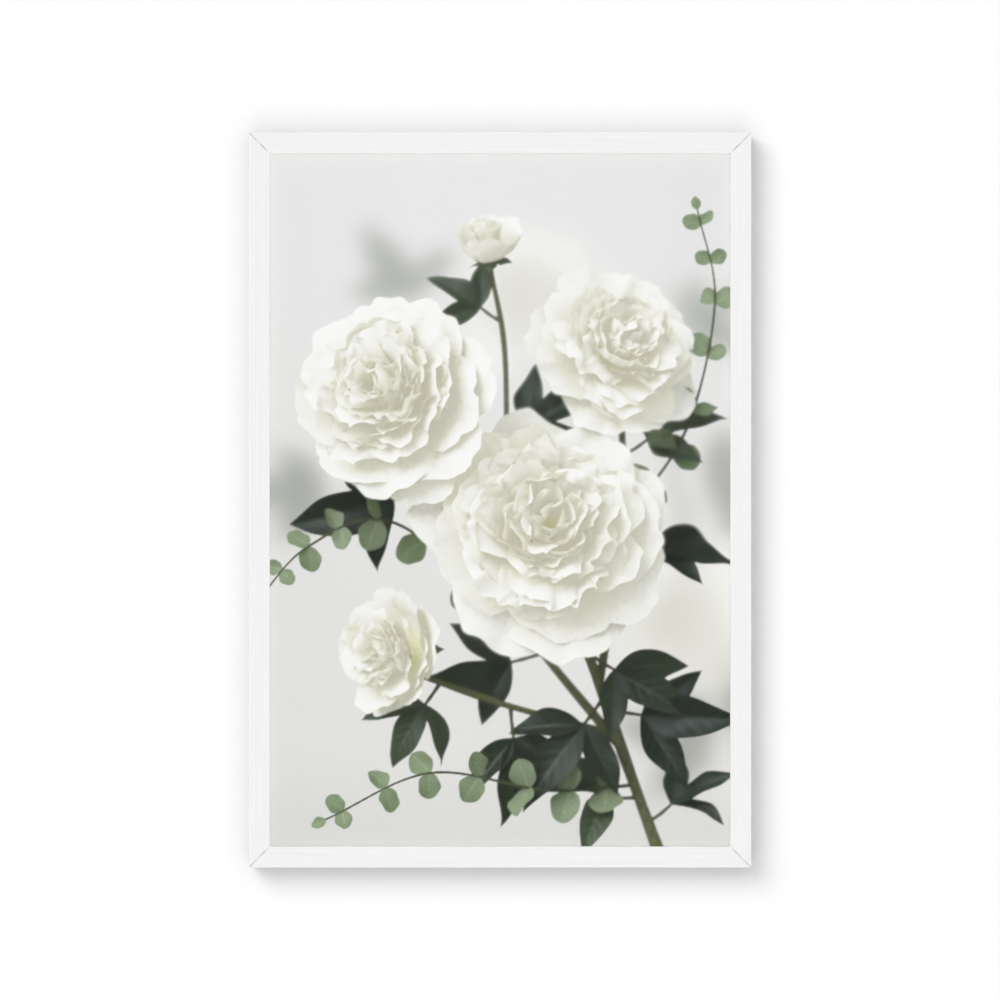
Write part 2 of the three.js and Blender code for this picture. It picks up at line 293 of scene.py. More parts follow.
def joint_paint(right):
    """Paint in the joints of the left or the right rail."""
    shader = Shader("white_paint_joint_" + ("right" if right else "left"))
    inset = inset_from_edge(shader, 0, 1 if right else -1)
    cloud = shader.noise(shader.place(), 500, 4, 0.6)
    white = shader.between(cloud, (0.6, 0.6, 0.59), (0.74, 0.74, 0.74))
    # Painted shade: the joint's paint is near black where the crack's shadow falls.
    return shader.surface(
        shader.mix(joint_crack_shade(shader, inset), white, (0.06, 0.06, 0.058)),
        shader.between(cloud, 0.42, 0.55),
        (cloud, 0.02 * MM, 0.4),
    )


def fill_joint(name, right, top, material):
    """The paint that has run into one mitre joint: nearly flush in places, sunk in others."""
    rng = np.random.default_rng(31 + 2 * right + top)
    corner = Vector((OUTER_HIGH.x if right else OUTER_LOW.x, 0, OUTER_HIGH.z if top else OUTER_LOW.z))
    inward = Vector((-1 if right else 1, 0, -1 if top else 1))
    across = Vector((inward.x, 0, -inward.z)).normalized() * (JOINT_GAP / 2 - FILL_CLEAR)
    steps = FILL_KNOTS * FILL_STEPS
    at = np.linspace(0, FILL_KNOTS, steps + 1)
    sunk = np.interp(at, np.arange(FILL_KNOTS + 1), rng.choice(FILL_SUNK_MM, FILL_KNOTS + 1)) * MM
    points = []
    for k in range(steps + 1):
        place = corner + inward * (FILL_SHORT + (FACE_WIDE - 2 * FILL_SHORT) * k / steps)
        front, back = FRONT_Y + sunk[k], FRONT_Y + FILL_DEEP
        for side, y in ((-1, front), (1, front), (1, back), (-1, back)):
            points.append(place + across * side + Vector((0, y, 0)))
    faces = [(0, 1, 2, 3), tuple(4 * steps + k for k in (3, 2, 1, 0))]
    for k in range(steps):
        faces += [(4 * k + j, 4 * k + 4 + j, 4 * k + 4 + (j + 1) % 4, 4 * k + (j + 1) % 4) for j in range(4)]
    piece = add_mesh(name, points, faces, material)
    made = bmesh.new()
    made.from_mesh(piece.data)
    bmesh.ops.recalc_face_normals(made, faces=made.faces)
    made.to_mesh(piece.data)
    made.free()
    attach(piece, "root")


def fill_joints():
    for right, side in enumerate(("left", "right")):
        material = joint_paint(right)
        for top, end in enumerate(("bottom", "top")):
            fill_joint(f"joint_paint_{end}_{side}", right, top, material)


# ---- Metal, board, rubber and glass ----


def zinced_steel():
    shader = Shader("zinced_steel")
    flakes = shader.flakes(shader.place(), 900)
    cloud = shader.noise(shader.place(), 260, 5, 0.6)
    grey = shader.between(cloud, (0.5, 0.51, 0.53), (0.68, 0.69, 0.7))
    return shader.surface(
        shader.stain(grey, flakes, 0, 1, 0.5, (0.74, 0.75, 0.77)),
        shader.between(cloud, 0.28, 0.46),
        (cloud, 0.05 * MM, 0.4),
        Metallic=1,
    )


def brassed_steel():
    shader = Shader("brassed_steel")
    rolled = shader.noise(shader.place((60, 1200, 1200)), 1, 4, 0.6)
    tarnish = shader.noise(shader.place(), 190, 4, 0.6)
    gold = shader.between(rolled, (0.6, 0.43, 0.19), (0.76, 0.58, 0.3))
    return shader.surface(
        shader.stain(gold, tarnish, 0.55, 0.75, 0.5, (0.42, 0.27, 0.12)),
        shader.between(rolled, 0.24, 0.4),
        (rolled, 0.03 * MM, 0.5),
        Metallic=1,
    )


def hardboard():
    """Brown pressed fibre, with the print of the press's wire net on its back."""
    shader = Shader("hardboard")
    fibre = shader.noise(shader.place((500, 500, 150)), 1, 8, 0.75, 1.2)
    chips = shader.flakes(shader.place((1, 1, 0.45)), 420)
    cloud = shader.noise(shader.place(), 9, 6, 0.62)
    patch = shader.noise(shader.place(), 40, 5, 0.6, 0.5)
    wire = {"Scale": 150, "Distortion": 0.9, "Detail": 1, "Detail Scale": 3}
    warp, weft = (
        shader.node("TexWave", {"Vector": shader.place(), **wire}, bands_direction=way).outputs["Fac"]
        for way in "XZ"
    )
    net = shader.math("MAXIMUM", warp, weft)
    brown = shader.mix(shader.spread(fibre, 0.36, 0.64), (0.105, 0.055, 0.028), (0.33, 0.2, 0.112))
    brown = shader.stain(brown, chips, 0, 1, 0.35, (0.15, 0.084, 0.045))
    brown = shader.stain(brown, cloud, 0.38, 0.66, 0.35, (0.29, 0.178, 0.1))
    brown = shader.stain(brown, patch, 0.5, 0.72, 0.3, (0.14, 0.078, 0.042))
    brown = shader.stain(brown, net, 0.7, 1, 0.3, (0.095, 0.05, 0.027))
    height = shader.math("MULTIPLY_ADD", net, -0.8, shader.math("MULTIPLY", fibre, 0.9))
    return shader.surface(
        brown,
        shader.between(fibre, 0.55, 0.8),
        (height, 0.35 * MM, 0.8),
        Specular_IOR_Level=0.35,
    )


def soft_rubber():
    shader = Shader("soft_rubber")
    dust = shader.noise(shader.place(), 700, 5, 0.65)
    return shader.surface(
        shader.mix(shader.spread(dust, 0.35, 0.75), (0.52, 0.52, 0.51), (0.66, 0.66, 0.64)),
        shader.between(dust, 0.42, 0.62),
        (dust, 0.05 * MM, 0.4),
    )


def clear_glass():
    """Clear, with a faint gloss that grows at a slant."""
    shader = Shader("clear_glass")
    smear = shader.between(shader.noise(shader.place(), 9, 4, 0.6), 0.01, 0.05)
    shine = shader.node("BsdfGlossy", {"Color": (1, 1, 1), "Roughness": smear})
    clear = shader.node("BsdfTransparent", {"Color": (0.995, 0.996, 0.995)})
    slant = shader.node("LayerWeight", {"Blend": 0.5}).outputs["Facing"]
    share = shader.math("MULTIPLY_ADD", shader.math("POWER", slant, 5), 0.55, 0.003)
    shader.tree.nodes.remove(shader.body)
    return shader.show(shader.node("MixShader", (share, clear, shine)))


def finish_fittings():
    fittings = {
        ("tab_", "v_nail_"): zinced_steel(),
        "hanger": brassed_steel(),
        "bumper_": soft_rubber(),
        "backing_board": hardboard(),
        "glass": clear_glass(),
    }
    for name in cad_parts:
        for start, material in fittings.items():
            if name.startswith(start):
                dress(name, material)


# ---- The flowers in the picture ----
#
# These are in millimetres on the sheet: x to the right and z up from its middle, and y away
# from the viewer.

SHEET_WIDE, SHEET_HIGH = 400, 600
PETAL, LEAF, STEM = range(3)
GOLDEN_ANGLE = math.pi * (3 - math.sqrt(5))


def unit(v):
    v = np.asarray(v, float)
    return v / np.maximum(np.linalg.norm(v, axis=-1, keepdims=True), 1e-12)


def smooth(low, high, x):
    t = np.clip((x - low) / (high - low), 0, 1)
    return t * t * (3 - 2 * t)


def walked(slant, steps):
    """How far a line has come along its heading, and across it, at each point, for its slant."""
    return [np.concatenate([[0], np.cumsum(part(slant[:-1]) * steps)]) for part in (np.cos, np.sin)]


class Plants:
    """Surfaces of petals, leaves and stems, and where each of their points lies along and across."""

    PARTS = ("points", "normals", "along", "across", "faces", "kind", "piece", "tint")

    def __init__(self):
        self.added = []
        self.count = 0

    def add(self, grid, along, across, kind, tint):
        rows, columns = grid.shape[:2]
        normals = unit(np.cross(np.gradient(grid, axis=0), np.gradient(grid, axis=1)))
        i, j = np.meshgrid(np.arange(rows - 1), np.arange(columns - 1), indexing="ij")
        a = (i * columns + j).ravel() + self.count
        faces = np.concatenate(
            [np.stack([a, a + columns, a + columns + 1], -1), np.stack([a, a + columns + 1, a + 1], -1)]
        )
        of_points = (grid.reshape(-1, 3), normals.reshape(-1, 3), along.ravel(), across.ravel())
        of_faces = (np.full(len(faces), value) for value in (kind, len(self.added), tint))
        self.added.append((*of_points, faces, *of_faces))
        self.count += rows * columns

    def pack(self):
        """Joins all that was added, and makes it ready for rays."""
        for name, arrays in zip(self.PARTS, zip(*self.added)):
            setattr(self, name, np.concatenate(arrays))
        self.tree = BVHTree.FromPolygons(self.points.tolist(), self.faces.tolist(), all_triangles=True)
        return self


def frame_about(axis):
    """Three directions as rows: two across the axis, and the axis."""
    axis = unit(axis)
    side = unit(np.cross((0, 0, 1) if abs(axis[2]) < 0.99 else (1, 0, 0), axis))
    return np.stack([side, np.cross(axis, side), axis])


def petal(plants, centre, basis, turn, rng, *, length, width, lean, foot, wrap, ruffle):
    """One petal, a cupped and ruffled sheet that grows from the blossom's base.

    lean holds its slant from the blossom's axis, in degrees, at the foot, the middle and the tip.
    foot is how far out and how high it starts. wrap is the radius that it is curled to across.
    """
    rows, columns = 19, 27
    s1 = np.linspace(0, 1, rows)
    s, t = np.meshgrid(s1, np.linspace(-1, 1, columns), indexing="ij")
    low, middle, tip = np.radians(lean)
    slant = low + (middle - low) * smooth(0, 0.55, s1) + (tip - middle) * smooth(0.5, 1, s1)
    rise, reach = walked(slant, length / (rows - 1))
    phase = rng.uniform(0, 2 * np.pi, 8)
    short = 1 - rng.uniform(0.22, 0.34) * np.abs(t) ** 2.4
    short = short - 0.05 * np.exp(-(((t - rng.uniform(-0.5, 0.5)) / 0.14) ** 2)) * rng.uniform(0, 1.6)
    short = short + 0.022 * np.sin(7 * t + phase[6]) + 0.014 * np.sin(15 * t + phase[7])
    place = s * short
    out = np.interp(place, s1, foot[0] + reach)
    high = np.interp(place, s1, foot[1] + rise)
    half = width * (0.15 + 0.85 * np.sin(np.pi / 2 * np.minimum(1, s / 0.78)) ** 1.15)
    curl = np.maximum(wrap * np.maximum(out, 0.35 * length), 0.25 * width)
    angle = np.clip(t * half / curl, -2.2, 2.2)
    out = out - curl * (1 - np.cos(angle))
    side = curl * np.sin(angle)
    wave = (
        0.55 * np.sin(3 * t + phase[0])
        + 0.42 * s * np.sin(6.5 * t + phase[1] + 1.5 * s)
        + 0.26 * s ** 2 * np.sin(12 * t + phase[2] + 2.5 * s)
        + 0.12 * s ** 3 * np.sin(21 * t + phase[3])
        + 0.25 * np.sin(4.5 * s + phase[4])
    )
    lift = ruffle * s ** 1.5 * wave
    tilt = np.interp(place, s1, slant)
    out = out + lift * np.cos(tilt)
    high = high - lift * np.sin(tilt)
    side = side + 0.35 * ruffle * s ** 2 * np.sin(8 * t + phase[5]) + rng.normal(0, 0.06) * length * s ** 2
    c, d = math.cos(turn), math.sin(turn)
    local = np.stack([out * c - side * d, out * d + side * c, high], -1)
    plants.add(np.asarray(centre, float) + local @ basis, place, t, PETAL, rng.uniform(-1, 1))


def blossom(plants, centre, facing, radius, seed, inner=64, guards=11, opened=1):
    """A double blossom: a dome of ruffled petals, held in wide cupped ones and five sepals.

    opened goes from about 0.3, a bud that shows its petals, to 1, full blown.
    """
    rng = np.random.default_rng(seed)
    basis = frame_about(facing)
    for i in range(inner):
        q = math.sqrt((i + 0.5) / inner)
        middle = opened * (66 * q) - 10 + rng.normal(0, 8)
        petal(
            plants, centre, basis, i * GOLDEN_ANGLE + rng.normal(0, 0.25), rng,
            length=radius * (0.6 + 0.3 * q) * rng.uniform(0.88, 1.1),
            width=radius * (0.24 + 0.16 * q) * rng.uniform(0.8, 1.35),
            lean=(10 + 62 * q * opened, middle, middle + rng.uniform(-38, 58) * opened),
            foot=(radius * (0.01 + 0.07 * q), -radius * 0.16 * q),
            wrap=rng.uniform(0.55, 1.5),
            ruffle=radius * rng.uniform(0.045, 0.095),
        )
    for i in range(guards):
        q = (i + 0.5) / guards
        middle = (58 + 20 * q) * opened + rng.normal(0, 5)
        petal(
            plants, centre, basis, i * GOLDEN_ANGLE + rng.normal(0, 0.12), rng,
            length=radius * (1 + 0.16 * q) * rng.uniform(0.94, 1.06),
            width=radius * rng.uniform(0.5, 0.66),
            lean=(88, middle, middle + rng.uniform(-10, 30) * opened),
            foot=(radius * 0.08, -radius * (0.22 + 0.06 * q)),
            wrap=rng.uniform(1, 1.5),
            ruffle=radius * rng.uniform(0.035, 0.065),
        )
    base = centre - basis[2] * radius * 0.3
    for i in range(5):
        turn = i * 2 * math.pi / 5 + rng.normal(0, 0.2)
        out = np.array((math.cos(turn), math.sin(turn), 0.35 - 0.75 * opened)) @ basis
        face = np.array((math.cos(turn), math.sin(turn), -1)) @ basis
        blade(plants, base, out, face, radius * 0.55, radius * 0.3, rng, -0.5, 0.3, 0.5)


def curve(knots, steps=10):
    """A smooth line through the knots, with that many steps between each two."""
    knots = np.asarray(knots, float)
    last = len(knots) - 1
    at = np.linspace(0, last, steps * last + 1)
    padded = np.concatenate([[2 * knots[0] - knots[1]], knots, [2 * knots[-1] - knots[-2]]])
    k = np.minimum(at.astype(int), last - 1)
    f = (at - k)[:, None]
    a, b, c, d = (padded[k + i] for i in range(4))
    return b + ((c - a) * f + (2 * a - 5 * b + 4 * c - d) * f ** 2 + (3 * b - a - 3 * c + d) * f ** 3) / 2


def stem(plants, path, thick, thin, tint=0):
    """A round stem along a path of points."""
    rows, columns = len(path), 13
    ahead = unit(np.gradient(path, axis=0))
    side = unit(np.cross(ahead, (0, 1, 0.1)))
    other = np.cross(side, ahead)
    angle = np.linspace(0, 2 * np.pi, columns)[None, :, None]
    radius = np.linspace(thick, thin, rows) * (1 + 0.08 * np.sin(np.arange(rows) * 0.6))
    around = np.cos(angle) * side[:, None] + np.sin(angle) * other[:, None]
    s, t = np.meshgrid(np.linspace(0, 1, rows), np.linspace(-1, 1, columns), indexing="ij")
    plants.add(path[:, None] + around * radius[:, None, None], s, t, STEM, tint)


def blade(plants, base, heading, face, length, width, rng, droop, fold, sage, widest=0.42, blunt=1.1):
    """One leaf blade. heading is where it points at its foot, and face is its upper side.

    widest is how far along it is widest, and blunt is how round its ends are, from 0.5 up to
    about 1.3 for a slender point. sage is its colour, from dark green, 0, to grey green, 1.
    """
    rows, columns = 41, 13
    s1 = (1 - np.cos(np.linspace(0, np.pi, rows))) / 2
    s, t = np.meshgrid(s1, np.linspace(-1, 1, columns), indexing="ij")
    heading = unit(heading)
    side = unit(np.cross(heading, face))
    up = np.cross(side, heading)
    bend = -droop * s1 ** 1.3 * 1.4
    twist = rng.normal(0, 0.35) * s1
    ahead, rise = walked(bend, np.diff(s1) * length)
    outline = np.sin(np.pi * s1 ** (math.log(0.5) / math.log(widest))).clip(0)[:, None] ** blunt + 0.004
    half = width / 2 * outline * (1 + 0.05 * np.sin(11 * s + rng.uniform(0, 6)) * t)
    above = fold * half * np.abs(t) ** 1.2
    above = above + 0.05 * length * outline * np.sin(8 * s + rng.uniform(0, 6) + t) * t ** 2 * (0.3 + s)
    ridges = np.sin(2 * np.pi * (s * 7 - np.abs(t) * 1.6)) * (1 - np.abs(t)) * np.abs(t)
    above = above + 0.012 * length * outline * ridges
    across = half * t
    ct, st = np.cos(twist)[:, None], np.sin(twist)[:, None]
    across, above = across * ct - above * st, across * st + above * ct
    cb, sb = np.cos(bend)[:, None], np.sin(bend)[:, None]
    grid = (
        np.asarray(base, float)
        + heading * (ahead[:, None] - above * sb)[..., None]
        + up * (rise[:, None] + above * cb)[..., None]
        + side * across[..., None]
    )
    plants.add(grid, s, t, LEAF, sage)


def leaf_of_three(plants, start, heading, size, seed, sage=0):
    """A stalk with three slender blades: one ahead and one to each side."""
    rng = np.random.default_rng(seed)
    heading = unit(heading)
    face = unit(np.array((0, -1, 0.5)) + rng.normal(0, 0.25, 3))
    side = unit(np.cross(heading, face))
    start = np.asarray(start, float)
    fork = start + heading * 0.35 * size
    stem(plants, curve([start, start + heading * 0.18 * size - face * 0.03 * size, fork]), 1.8, 1.4, 1)
    for turn, part in ((0, 1), (-0.85, 0.82), (0.85, 0.82)):
        turn = turn + rng.normal(0, 0.12)
        way = heading * math.cos(turn) + side * math.sin(turn)
        long = size * part * rng.uniform(0.9, 1.1)
        tilted = face + side * rng.normal(0, 0.3)
        droop, fold = rng.uniform(0.1, 0.7), rng.uniform(0.2, 0.6)
        blade(plants, fork, way, tilted, long, long * 0.4, rng, droop, fold, sage)


def twig(plants, knots, size, seed, sage=1):
    """A thin twig with round leaves in pairs, smaller towards its tip."""
    rng = np.random.default_rng(seed)
    path = curve(knots, 12)
    stem(plants, path, 1.6, 0.7, 1)
    ahead = unit(np.gradient(path, axis=0))
    for at in range(4, len(path), 5):
        small = 1 - 0.55 * at / len(path)
        for hand in (-1, 1):
            face = unit(np.array((0, -1, 0.3)) + rng.normal(0, 0.45, 3))
            side = unit(np.cross(ahead[at], face))
            way = side * hand + ahead[at] * rng.uniform(0.2, 0.8)
            long = size * small * rng.uniform(0.85, 1.15)
            droop, fold = rng.uniform(-0.2, 0.4), rng.uniform(0, 0.3)
            blade(plants, path[at], way, face, long, long * 0.88, rng, droop, fold, sage, 0.5, 0.52)
    face = (0, -1, 0.3)
    blade(plants, path[-1], ahead[-1], face, size * 0.4, size * 0.3, rng, 0.1, 0.1, sage, 0.5, 0.6)


def near_spray():
    """The arrangement that the camera is focused on."""
    plants = Plants()
    main = curve([(150, 75, -340), (112, 70, -235), (75, 52, -130), (45, 25, -55)])
    left = curve([main[12], (20, 85, -110), (-62, 62, 10), (-88, 30, 75)])
    right = curve([main[17], (105, 95, -20), (104, 78, 95)])
    low = curve([main[13], (0, 62, -175), (-72, 48, -150)])
    high = curve([left[12], (5, 95, 110), (-8, 70, 200)])
    stem(plants, main, 5.5, 4.2)
    stem(plants, left, 4, 3.2)
    stem(plants, right, 3.6, 3)
    stem(plants, low, 3.2, 2.6)
    stem(plants, high, 2.8, 2.2)
    blossom(plants, (40, 0, -28), (0.1, -1, 0.22), 96, 3)
    blossom(plants, (-92, 10, 92), (-0.42, -1, 0.35), 84, 8)
    blossom(plants, (100, 48, 128), (0.45, -0.9, 0.5), 70, 12, 52, 10)
    blossom(plants, (-88, 36, -132), (-0.75, -0.75, 0.05), 56, 15, 40, 9, 0.72)
    blossom(plants, (-10, 62, 218), (-0.15, -0.45, 1), 38, 21, 18, 7, 0.36)
    leaves = (
        (main[16], (-0.55, -0.35, -0.75), 92, 0.05),
        (main[15], (0.95, -0.35, -0.15), 88, 0),
        (main[20], (0.9, -0.3, -0.62), 84, 0.1),
        (main[8], (-0.9, -0.3, 0.05), 80, 0.25),
        (main[6], (0.75, -0.2, 0.55), 72, 0.05),
        (right[8], (1, -0.25, 0.05), 84, 0),
        (right[15], (0.9, -0.15, 0.55), 70, 0.2),
        (left[14], (-0.2, -0.1, 1), 86, 0),
        (left[20], (-1, -0.2, -0.35), 90, 0),
        (left[8], (-0.85, -0.25, -0.25), 84, 0.05),
        (left[28], (-0.75, -0.1, 0.75), 78, 0.1),
        (high[6], (0.75, -0.1, 0.75), 80, 0.05),
        (high[14], (-0.8, -0.1, 0.55), 62, 0.15),
        (low[9], (0.1, -0.3, -1), 82, 0.05),
        (low[17], (-0.6, -0.2, -0.85), 66, 0.2),
    )
    for seed, (start, heading, size, sage) in enumerate(leaves, 200):
        leaf_of_three(plants, start, heading, size, seed, sage)
    twig(plants, [main[9], (40, 35, -250), (-60, 15, -235), (-150, 5, -275)], 34, 31)
    twig(plants, [left[10], (-90, 45, -20), (-165, 30, -40), (-215, 20, -95)], 32, 32)
    twig(plants, [right[10], (160, 70, 60), (185, 60, 170), (170, 50, 250)], 30, 33)
    return plants.pack()


def far_spray():
    """What stands further back, out of focus."""
    plants = Plants()
    path = curve([(230, 260, -340), (190, 250, -120), (150, 240, 20), (150, 230, 190)])
    stem(plants, path, 5, 3)
    blossom(plants, (160, 220, -105), (0.3, -1, 0.4), 62, 41, 40, 9)
    blossom(plants, (22, 240, 175), (-0.2, -1, 0.5), 58, 42, 40, 9)
    leaves = (
        (path[5], (-0.9, -0.2, 0.3), 90),
        (path[10], (0.6, -0.2, -0.8), 80),
        (path[18], (0.9, -0.2, 0.3), 90),
        (path[22], (-0.8, -0.2, 0.8), 90),
        (path[26], (0.7, -0.2, 0.7), 80),
        ((-120, 240, 0), (-0.9, -0.2, 0.1), 90),
        ((-60, 240, 150), (-0.5, -0.2, 1), 80),
    )
    for seed, (start, heading, size) in enumerate(leaves, 300):
        leaf_of_three(plants, start, heading, size, seed, 0.35)
    return plants.pack()


# ---- The light in the picture ----

KEY = unit((-0.6, -0.62, 0.62))
KEY_COLOUR = np.array((0.92, 0.912, 0.89))
KEY_SPREAD, KEY_BUNDLES = 0.42, 8  # how wide the key light is, and how many sets of rays fill it
SKY_COLOUR = np.array((0.97, 0.985, 1))
BOUNCE = np.array([(0.4, 0.388, 0.33), (0.025, 0.037, 0.019), (0.031, 0.031, 0.019)])
DEEPEST = np.array((0.21, 0.195, 0.125))  # the light left at the bottom of a blossom's folds
CLEAR_OF_SURFACE = 0.25
KEY_REACH, SKY_REACH = 500, 300  # how far off another surface can shade a point
LOOK_FROM = -600

NEAR_RAYS = (11, 18, 7)  # at each point, towards the key light, the sky and the sky behind it
FAR_RAYS = (4, 6, 2)
FAR_BLUR_MM = 9  # how far a point at the back is smeared out
HAZE = 0.45  # how much of the backdrop's tone lies over what is at the back
FOCUS_DEEP, BLUR_EVERY_MM = 5, 55  # where the picture starts to soften, and how fast
SOFTENING = (0.9, 1.8)  # the two steps of softness, in cells of the full grid
SHOULDER, WHITEST = 0.62, 0.915  # where highlights start to be held back, and the tone they near
SUBSAMPLES = ((-0.36, -0.14), (0.14, -0.36), (0.36, 0.14), (-0.14, 0.36))  # in cells, at outlines


def sky(d):
    """How bright the studio is in direction d, without the key light."""
    return 0.62 + 0.3 * d[:, 2] - 0.22 * d[:, 1] - 0.12 * d[:, 0]


def first_hits(tree, starts, ways, far):
    """The face that each ray meets first, or -1."""
    cast = tree.ray_cast
    found = (cast(start, way, far)[2] for start, way in zip(starts.tolist(), ways.tolist()))
    return np.fromiter((-1 if f is None else f for f in found), int, len(starts))


def look(plants, x, z):
    """Which of these points of the picture show a plant, and the face and place seen at each."""
    face = np.full(len(x), -1)
    place = np.zeros((len(x), 3))
    for i, (px, pz) in enumerate(zip(x.tolist(), z.tolist())):
        spot, _, found, _ = plants.tree.ray_cast((px, LOOK_FROM, pz), (0, 1, 0))
        if found is not None:
            face[i] = found
            place[i] = spot
    hit = np.flatnonzero(face >= 0)
    return hit, face[hit], place[hit]


def surface(plants, face, place):
    """Smooth and flat normals towards the viewer, and the place along and across, at each hit."""
    corners = plants.faces[face]
    a, b, c = (plants.points[corners[:, k]] for k in range(3))
    u, v, w = b - a, c - a, place - a
    uu, uv, vv = (u * u).sum(1), (u * v).sum(1), (v * v).sum(1)
    wu, wv = (w * u).sum(1), (w * v).sum(1)
    scale = np.maximum(uu * vv - uv * uv, 1e-12)
    share_b = np.clip((vv * wu - uv * wv) / scale, 0, 1)
    share_c = np.clip((uu * wv - uv * wu) / scale, 0, 1)
    share = np.stack([1 - share_b - share_c, share_b, share_c], 1)
    normal = unit((plants.normals[corners] * share[..., None]).sum(1))
    flat = unit(np.cross(u, v))
    normal[(normal * flat).sum(1) < 0] *= -1
    away = flat[:, 1] > 0
    normal[away] *= -1
    flat[away] *= -1
    return normal, flat, (plants.along[corners] * share).sum(1), (plants.across[corners] * share).sum(1)


def light_at(plants, place, normal, flat, rng, key_rays, sky_rays, back_rays):
    """The light that falls on the near side and on the far side of each hit."""
    n = len(place)
    front, back = np.zeros((n, 3)), np.zeros((n, 3))

    turns = np.arange(key_rays * KEY_BUNDLES) + 0.5
    r = np.sqrt(turns / len(turns)) * KEY_SPREAD
    turns = turns * GOLDEN_ANGLE
    about = np.stack([r * np.cos(turns), r * np.sin(turns), np.ones_like(r)], -1)
    about = unit(about @ frame_about(KEY))
    for k in range(key_rays):
        way = about[rng.integers(0, KEY_BUNDLES, n) * key_rays + k]
        side = np.where((flat * way).sum(1) > 0, 1, -1)[:, None]
        clear = first_hits(plants.tree, place + flat * side * CLEAR_OF_SURFACE, way, KEY_REACH) < 0
        facing = (normal * way).sum(1)
        lit = (clear * np.abs(facing))[:, None] * KEY_COLOUR / key_rays
        front += np.where((side > 0) & (facing[:, None] > 0), lit, 0)
        back += np.where(side < 0, lit, 0)

    tangent = unit(np.cross(normal, (0.3, 0.2, 0.93)))
    other = np.cross(normal, tangent)
    for total, sign, rays in ((front, 1, sky_rays), (back, -1, back_rays)):
        start = rng.random(n) * 2 * np.pi
        for k in range(rays):
            r = np.sqrt((k + rng.random(n)) / rays)
            a = start + k * GOLDEN_ANGLE
            up = sign * np.sqrt(np.maximum(0, 1 - r * r))
            way = tangent * (r * np.cos(a))[:, None] + other * (r * np.sin(a))[:, None] + normal * up[:, None]
            open_way = np.flatnonzero((flat * way).sum(1) * sign > 0.02)
            starts = place[open_way] + flat[open_way] * sign * CLEAR_OF_SURFACE
            found = first_hits(plants.tree, starts, way[open_way], SKY_REACH)
            clear = found < 0
            total[open_way[clear]] += sky(way[open_way[clear]])[:, None] * SKY_COLOUR / rays
            total[open_way[~clear]] += BOUNCE[plants.kind[found[~clear]]] / rays
    return front, back


# Each of these three gives the colour of its kind of surface, from its own tint, the place along
# it, 0 to 1, and across it, -1 to 1, its normal, and the light on its two sides.


def petal_colour(tint, s, t, normal, front, back):
    green = 1 - smooth(0.02, 0.45, s)[:, None]
    albedo = np.array((0.93, 0.925, 0.885)) * (1 + 0.02 * tint)[:, None] * (1 - green)
    albedo = albedo + np.array((0.82, 0.83, 0.58)) * green
    albedo[:, 2] -= 0.015 * (1 + tint)
    veins = 0.5 + 0.5 * np.sin(46 * t * (0.55 + 0.45 * s) + 3 * np.sin(5 * s + 9 * tint))
    albedo *= (1 - 0.03 * veins ** 3 * smooth(0.05, 0.4, s))[:, None]
    return albedo * (np.maximum(front, DEEPEST) * 0.86 + back * np.array((0.42, 0.413, 0.36)))


def leaf_colour(sage, s, t, normal, front, back):
    t = np.abs(t)
    rib = np.exp(-((t / 0.05) ** 2)) * (1 - 0.5 * s)
    phase = (s * 7.5 - t * 1.7 + 0.04 * np.sin(17 * t + 9 * s)) % 1
    inner = smooth(0.02, 0.1, s) * (1 - t ** 3)
    vein = np.exp(-((np.minimum(phase, 1 - phase) / 0.06) ** 2)) * inner
    relief = np.sin(2 * np.pi * phase) * inner
    fine = (np.abs(np.sin(47 * s + 11 * t)) * np.abs(np.sin(33 * t - 13 * s))) ** 0.5
    dull = 1 - 0.65 * sage
    lighter = (1 + (1.5 * rib + 0.8 * vein + 0.26 * relief) * dull) * (0.86 + 0.24 * fine)
    sage = sage[:, None]
    albedo = np.array((0.0125, 0.0175, 0.0125)) * (1 - sage) + np.array((0.16, 0.2, 0.128)) * sage
    albedo = albedo * lighter[:, None]
    halfway = unit(KEY + np.array((0, -1, 0)))
    shine = np.clip((normal * halfway).sum(1), 0, 1) ** 22 * np.clip(front[:, 0], 0, 1.2)
    rim = (1 - np.abs(normal[:, 1])) ** 2
    gloss = np.array((0.044, 0.05, 0.053)) * shine[:, None]
    gloss = gloss + np.array((0.012, 0.014, 0.015)) * front * rim[:, None]
    return albedo * (front * 0.9 + back * np.array((0.32, 0.42, 0.14))) + gloss * (1 - 0.5 * sage)


def stem_colour(tint, s, t, normal, front, back):
    mottle = 1 + 0.25 * np.sin(160 * s) * np.sin(9 * t)
    green = np.array((0.105, 0.115, 0.055)) * (1 - 0.4 * tint)[:, None]
    return green * mottle[:, None] * front


def colour_of(plants, face, s, t, normal, front, back):
    made = np.zeros((len(face), 3))
    for kind, paint in ((PETAL, petal_colour), (LEAF, leaf_colour), (STEM, stem_colour)):
        k = plants.kind[face] == kind
        made[k] = paint(plants.tint[face[k]], s[k], t[k], normal[k], front[k], back[k])
    return made


def backdrop(x, z):
    """The plain studio wall behind the flowers, soft and grey."""
    up = z / SHEET_HIGH + 0.5
    level = 0.68 + 0.068 * smooth(0, 0.16, up) + 0.07 * smooth(0.3, 1, up)
    level = level * (1 - 0.03 * smooth(0, 1, np.abs(x) / 230) ** 2)
    level = level + 0.02 * np.exp(-(((x + 70) / 150) ** 2 + ((z - 170) / 160) ** 2))
    level = level + 0.045 * np.exp(-(((x - 190) / 110) ** 2 + ((z + 70) / 190) ** 2))
    warm = smooth(0, 0.8, 1 - up)
    return np.stack([level, level * (0.993 - 0.004 * warm), level * (0.998 - 0.035 * warm)], -1)


